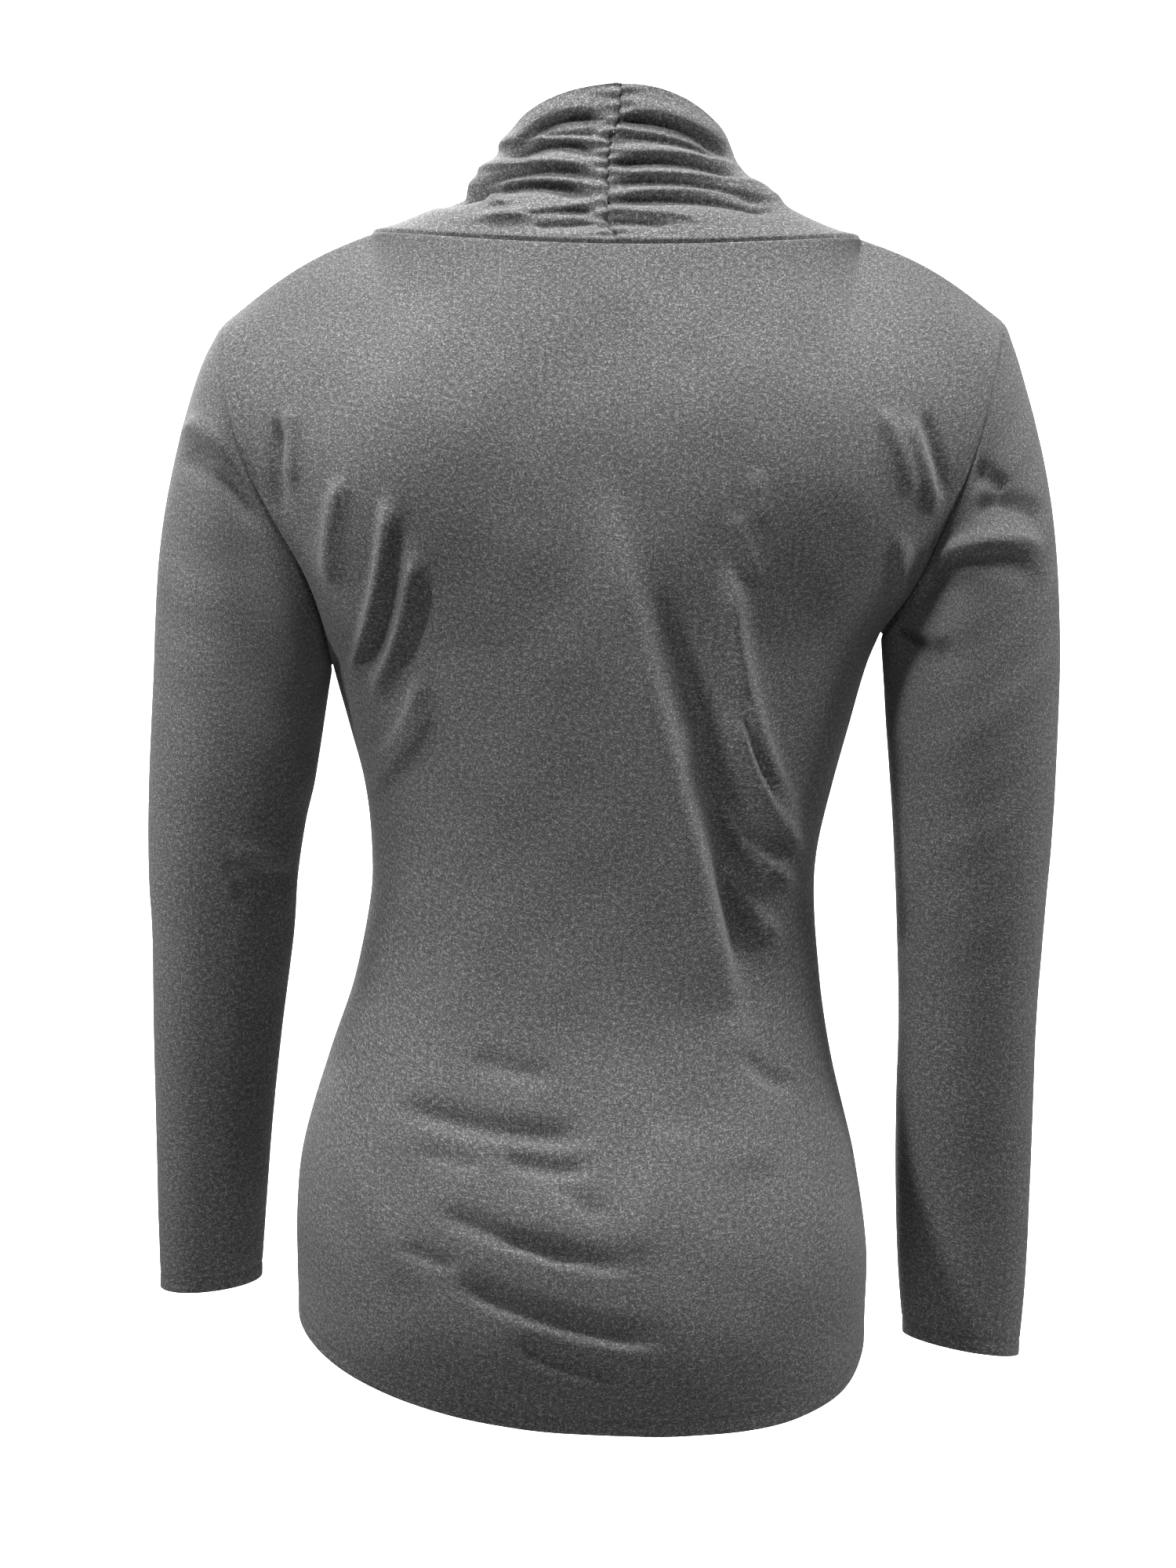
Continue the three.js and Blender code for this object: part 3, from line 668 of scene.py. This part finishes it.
sleeveSections = {
    "left": [
        (211.7, -46.2, 151.6, -228, 52, 0, 0),
        (224.5, -74, 153.5, -240, 53, 1, 0),
        (237.5, -123, 155.5, -254, 53, 2, 0),
        (245, -172, 158.5, -274, 51, 2, 1),
        (248, -236, 161.5, -292, 49, 1, 4),
        (250.5, -292, 166, -311, 46, -3, 8),
        (251, -335, 170.5, -340, 43, -9, 13),
        (249.5, -372, 173, -372, 41, -18, 16),
        (249.5, -424, 180, -424, 38, -33, 17),
        (249, -473, 185.5, -473, 35, -47, 16),
        (248.5, -522, 189.5, -520, 32, -60, 13),
        (247.5, -564, 192.5, -558, 30, -70, 10),
    ],
    "right": [
        (-208.7, -45, -141.5, -211, 52, 0, 0),
        (-218.5, -76, -142, -222, 53, 1, 0),
        (-229.5, -121, -143, -238, 53, 2, 0),
        (-235.5, -165, -144, -257, 51, 3, 0),
        (-237.5, -219, -145.5, -279, 49, 4, 2),
        (-236, -271, -147, -300, 46, 3, 4),
        (-233.5, -318, -148.5, -326, 44, 0, 7),
        (-230, -360, -150, -361, 42, -5, 9),
        (-226, -415, -151.5, -415, 39, -14, 9),
        (-224.5, -463, -150.5, -461, 37, -22, 9),
        (-223, -512, -150.5, -507, 35, -30, 8),
        (-221, -559, -152, -551, 33, -37, 7),
        (-217.5, -599, -155, -587, 31, -42, 6),
    ],
}
sectionColumns = ("outX", "outZ", "inX", "inZ", "depth", "y", "lean")

sleeves = {
    "left": {
        "columns": 130,
        "rows": 250,
        "flat": (0.33, 0.58),
        "area": 0.148,
        "backFolds": [
            (230, -114, 188, -152, -5, 6, 7, -4.5),
            (232, -98, 194, -130, -5, 7, 6, 3.5),
            (210, -333, 168, -341, 2, 3.4, 7, -2.6),
            (206, -326, 172, -332, 2, 6, 3.4, 1.6),
            (204, -346, 182, -349, 1, 3, 6, -1.6),
        ],
        "frontFolds": [
            (228, -128, 176, -196, 8, 8, 9, -2.8),
            (238, -330, 178, -322, -5, 6, 9, -3.0),
            (236, -352, 184, -346, -5, 9, 6, 2.6),
        ],
    },
    "right": {
        "columns": 130,
        "rows": 250,
        "flat": (0.33, 0.58),
        "area": 0.15,
        "backFolds": [
            (-156, -190, -228, -180, -11, 4, 8, -5.4),
            (-164, -176, -228, -166, -7, 6, 4, 5.0),
            (-188, -145, -226, -147, -3, 4, 7, -3.4),
            (-188, -122, -208, -136, 0, 4, 7, -3.4),
            (-148, -206, -176, -224, 1, 3.6, 7, -4.4),
            (-150, -200, -174, -217, 1, 5, 3, 2.6),
        ],
        "frontFolds": [
            (-214, -130, -166, -192, -8, 8, 9, -3.0),
            (-222, -322, -158, -314, 5, 6, 9, -2.8),
            (-220, -344, -164, -338, 5, 9, 6, 2.4),
        ],
    },
}
sleeveWaves = {"seed": 21, "count": 7, "lengths": (22, 70), "height": 0.3}


def sleevePoints(side, angle, along):
    rows = [dict(zip(sectionColumns, row), at=i / (len(sleeveSections[side]) - 1))
            for i, row in enumerate(sleeveSections[side])]
    read = {column: readTable(rows, "at", column, along) for column in sectionColumns}
    rise = (1 + np.cos(angle)) / 2
    seam = readTable(armholeReach, "rise", side, rise)
    reach = lerp(seam, rise, ease(along / 0.3))
    back = read["depth"] * np.sin(angle)
    lean = np.radians(read["lean"])
    gap = seamGap if side == "left" else -seamGap
    return np.stack([
        lerp(read["inX"], read["outX"], reach) + gap,
        read["y"] + back * np.cos(lean),
        lerp(read["inZ"], read["outZ"], rise) - back * np.sin(lean),
    ], axis=-1)


def makeSleeve(side):
    spec = sleeves[side]
    turned = 1 if side == "left" else -1
    # the grid opens along the inner line, where the sleeve's own seam is
    turn = np.linspace(-math.pi, math.pi, spec["columns"] + 1) * turned
    down = 1 - crowdedSteps(spec["rows"], 0.5)
    along, angle = np.meshgrid(down, turn, indexing="ij")
    points = sleevePoints(side, angle, along)
    points[:, -1] = points[:, 0]
    out = gridNormals(points, True)
    out[-1] = armholeOut(turned, np.sign(np.sin(angle[-1]) + 1e-9), (1 + np.cos(angle[-1])) / 2)
    uv = clothMap(points * mm, spec["columns"] // 2)
    x, z = points[..., 0], points[..., 2]
    back = np.sin(angle)
    clear = ease(along / 0.05) * ease(np.abs(back) * 1.6)
    folds = np.where(back > 0, foldLift(spec["backFolds"], x, z), foldLift(spec["frontFolds"], x, z))
    fromCuff = uv[..., 1] / mm
    fromTop = uv[-1:, :, 1] / mm - fromCuff
    waves = softWaves(x, z + 0.6 * points[..., 1], sleeveWaves, turned)
    lift = clear * folds + ease(fromTop / 12) * ease(np.abs(back) * 3) * waves
    lift += seamDip(fromTop, "armhole") + hemLift(fromCuff)
    lift[:, -1] = lift[:, 0]
    shaped = points + out * lift[..., None]
    piece = clothObject(side + "SleeveCloth", shaped * mm, uv, True)
    stitches = makeStitches(side + "CuffStitches", *lineAcross(shaped, out, fromCuff, hemLine))
    dress(piece, side + "_sleeve")


makeSleeve("left")
makeSleeve("right")
print("sleeves made")

# collar

collar = {
    "columns": 240,
    "rows": 180,
    "half": (58, 66, 74),
    "y": (50, -2, -110),
    "z": (79.8, 32.5, -40),
    "hollow": (-3, -13, 11),
    "lean": 1,
    "flat": (0.56, 0.15),
    "area": 0.07,
    "proud": {"height": 1.2, "reach": 8},
    "pucker": {"height": 0.9, "pitch": 6.2, "reach": 9, "shift": 1.9},
    "swayReach": 34,
    "valleyPower": 1.3,
    "backFolds": [
        (2, 60, -64, 40, -6, 2, 4.2, -6.5),
        (2, 65, -60, 47, -7, 6, 2.6, 2.4),
        (4, 50.5, -58, 41, -3, 1.7, 3.2, -4.4),
        (6, 55, -50, 46, -3, 3.4, 2, 2),
        (0, 36, -68, 31, -4, 1.9, 4, -6.5),
        (0, 41.5, -64, 38, -4, 4.6, 2.2, 3),
        (2, 26, -84, 17, -5, 1.9, 3.8, -6.5),
        (2, 31, -86, 23, -5, 4, 2, 2.8),
        (0, 16.5, -90, 13, -3, 1.7, 3.6, -5.7),
        (0, 21, -100, 18, -4, 4.2, 2.2, 3),
        (2, 11, -44, 7, -2, 3, 2.2, 2.2),
        (4, 6.5, -30, 4, 0, 1.7, 3, -3.4),
        (8, 60, 54, 46, 6, 2, 4.2, -6.5),
        (8, 65, 52, 52, 7, 6, 2.6, 2.4),
        (8, 52.5, 40, 53, 0, 1.7, 2.8, -4.7),
        (8, 57, 38, 58, 0, 3, 1.8, 1.8),
        (6, 43, 60, 41, 5, 1.9, 4.4, -6.8),
        (6, 48.5, 66, 47, 4, 4.6, 2, 3.4),
        (6, 29.5, 82, 25, 6, 1.9, 4.2, -6.8),
        (6, 34.5, 88, 30, 6, 4.4, 2, 3.4),
        (6, 18.5, 98, 18, 9, 2, 5, -8.3),
        (6, 25, 90, 26, 4, 4, 1.8, 3.2),
        (62, 29, 58, 15, 7, 2.4, 3, 3.4),
        (6, 11.5, 50, 9, 1, 1.9, 3.6, -5.5),
        (6, 17, 72, 8, -2, 4, 2.2, 3),
        (6, 9, 84, 7, 0, 4, 3, 2.2),
        (6, 4.5, 44, 3.5, 0, 1.7, 2.8, -3.1),
    ],
    "seamSway": [
        {"z": 0, "x": 4.5},
        {"z": 34, "x": 4.5},
        {"z": 50, "x": 3},
        {"z": 60, "x": -1},
        {"z": 82, "x": -3},
    ],
    "frontFolds": [
        (66, 18, -66, 18, 66, 8, 6, 4.5),
        (82, 12, -80, 14, 77, 6, 7, -4.5),
        (96, 6, -92, 8, 88, 8, 6, 5.5),
        (106, 2, -104, 4, 98, 6, 7, -4.0),
        (116, -4, -112, -2, 108, 7, 6, 3.5),
    ],
}


def collarPoints(turn, rise):
    low = neckLine(turn)
    half = roundTheNeck(turn, *collar["half"])
    top = np.stack([
        -half * np.sin(turn),
        roundTheNeck(turn, *collar["y"]),
        roundTheNeck(turn, *collar["z"]),
    ], axis=-1)
    way = top - low
    low = low + way / np.linalg.norm(way, axis=-1, keepdims=True) * seamGap
    swell = (roundTheNeck(turn, *collar["hollow"]) - collar["lean"] * np.sin(turn)) * np.sin(math.pi * rise)
    points = lerp(low, top, rise[..., None])
    points[..., 0] -= swell * np.sin(turn)
    points[..., 1] += swell * np.cos(turn)
    return points


def makeCollar():
    turns = np.linspace(0, 2 * math.pi, collar["columns"] + 1)
    rise, turn = np.meshgrid(crowdedSteps(collar["rows"], 0.3), turns, indexing="ij")
    points = collarPoints(turn, rise)
    out = gridNormals(points, False)
    uv = clothMap(points * mm, collar["columns"] // 2)
    x, z = points[..., 0], points[..., 2]
    back = np.cos(turn)
    backFolds = foldLift(collar["backFolds"], x, z, collar["valleyPower"])
    folds = np.where(back > 0, backFolds, foldLift(collar["frontFolds"], x, z))
    fromSeam = uv[..., 1] / mm
    out[0] = neckOut(turns)
    lift = ease(fromSeam / 7) * ease(np.abs(back) * 4) * folds
    proud, pucker = collar["proud"], collar["pucker"]
    lift += seamDip(fromSeam, "collar") + proud["height"] * np.exp(-((fromSeam / proud["reach"]) ** 2))
    fromStart = uv[..., 0] - uv[:, :1, 0]
    fromEnd = uv[:, -1:, 0] - uv[..., 0]
    centre = np.minimum(fromStart, fromEnd) / mm
    # both edges of the seam run straight in the cloth map; the front takes up the difference
    total = fromStart[:, -1:]
    uv[..., 0] = fromStart + (total.mean() - total) * ease((turn / math.pi - 0.6) / 0.8)
    phase = np.where(turn < math.pi, 0, pucker["shift"])
    ripple = np.sin(z * 2 * math.pi / pucker["pitch"] + 1.3 * np.sin(z / 7) + phase)
    ripple *= np.exp(-((centre / pucker["reach"]) ** 2))
    lift += ease(fromSeam / 5) * (pucker["height"] * ripple + seamDip(centre, "gather"))
    shaped = points + out * lift[..., None]
    sway = readTable(collar["seamSway"], "z", "x", z)
    shaped[..., 0] += sway * ease(fromSeam / 12) * np.exp(-((centre / collar["swayReach"]) ** 2))
    piece = clothObject("collarCloth", shaped * mm, uv, False)
    stitches = makeStitches("collarSeamStitches", shaped[2:-2, 0], out[2:-2, 0])
    dress(piece, "collar")


makeCollar()
print("collar made")

# stage: a pale floor that sweeps up behind, and soft studio light

stage = {
    "floor": -1.5,
    "behind": 6.8,
    "before": 9.0,
    "half": 9.0,
    "high": 5.0,
    "bend": 1.0,
    "bendSteps": 16,
    "colour": (0.9, 0.9, 0.9, 1),
    "roughness": 0.9,
    "worldStrength": 0.05,
}


def makeStage():
    bm = bmesh.new()
    bmesh.ops.create_grid(bm, x_segments=1, y_segments=1, size=1)
    for vert in bm.verts:
        depth = stage["before"] if vert.co.y > 0 else -stage["behind"]
        vert.co = (vert.co.x * stage["half"], depth, stage["floor"])
    farEdge = [e for e in bm.edges if all(v.co.y < 0 for v in e.verts)]
    centre = (0, -stage["behind"], stage["floor"] + stage["bend"])
    bmesh.ops.spin(bm, geom=farEdge, cent=centre, axis=(1, 0, 0), angle=-quarter, steps=stage["bendSteps"],
                   use_merge=False, use_duplicate=False)
    top = max(v.co.z for v in bm.verts)
    edge = [e for e in bm.edges if all(v.co.z > top - 1e-4 for v in e.verts)]
    grown = bmesh.ops.extrude_edge_only(bm, edges=edge)
    raised = [part for part in grown["geom"] if isinstance(part, bmesh.types.BMVert)]
    bmesh.ops.translate(bm, vec=(0, 0, stage["high"]), verts=raised)
    for face in bm.faces:
        face.smooth = True
    mesh = bpy.data.meshes.new("floor")
    bm.to_mesh(mesh)
    bm.free()
    floor = bpy.data.objects.new("floor", mesh)
    bpy.context.scene.collection.objects.link(floor)
    material = bpy.data.materials.new("paleFloor")
    material.use_nodes = True
    shader = material.node_tree.nodes["Principled BSDF"]
    shader.inputs["Base Color"].default_value = stage["colour"]
    shader.inputs["Roughness"].default_value = stage["roughness"]
    mesh.materials.append(material)


lights = [
    {"name": "topLight", "place": (0.0, 0.45, 1.9), "aim": (0.0, 0.05, -0.25),
     "size": 0.5, "spread": 70, "power": 12.5},
    {"name": "leftLight", "place": (1.9, -0.1, 0.8), "aim": (0.1, 0.0, -0.3),
     "size": 0.6, "spread": 60, "power": 5},
    {"name": "rightLight", "place": (-1.9, 0.05, 0.8), "aim": (-0.1, 0.0, -0.3),
     "size": 0.6, "spread": 60, "power": 6},
    {"name": "keyLight", "place": (1.5, 1.2, 1.0), "aim": (-0.04, 0.0, -0.36),
     "size": 0.5, "spread": 10, "power": 0.7},
    {"name": "fillLight", "place": (-0.5, 1.8, 1.1), "aim": (0.0, 0.0, -0.36),
     "size": 0.2, "spread": 13, "power": 0.12},
    {"name": "collarLight", "place": (0.4, 1.7, 1.4), "aim": (0.0, 0.0, 0.06),
     "size": 0.2, "spread": 9, "power": 0.3},
    {"name": "frontLight", "place": (0.6, -2.0, 1.3), "aim": (0.0, 0.0, -0.3),
     "size": 1.0, "spread": 60, "power": 14},
    {"name": "backdropLight", "place": (0.0, -5.2, 2.4), "aim": (0.0, -7.8, -0.3),
     "size": 2.6, "spread": 120, "power": 420},
]


def makeLights():
    for spec in lights:
        data = bpy.data.lights.new(spec["name"], "AREA")
        data.size = spec["size"]
        data.energy = spec["power"]
        data.spread = math.radians(spec["spread"])
        lamp = bpy.data.objects.new(spec["name"], data)
        lamp.location = spec["place"]
        way = Vector(spec["aim"]) - Vector(spec["place"])
        lamp.rotation_euler = way.to_track_quat("-Z", "Y").to_euler()
        bpy.context.scene.collection.objects.link(lamp)
    world = bpy.data.worlds.new("studio")
    world.use_nodes = True
    world.node_tree.nodes["Background"].inputs[0].default_value = (1, 1, 1, 1)
    world.node_tree.nodes["Background"].inputs[1].default_value = stage["worldStrength"]
    bpy.context.scene.world = world
    bpy.context.scene.view_settings.view_transform = "Standard"


makeStage()
makeLights()
print("stage made")
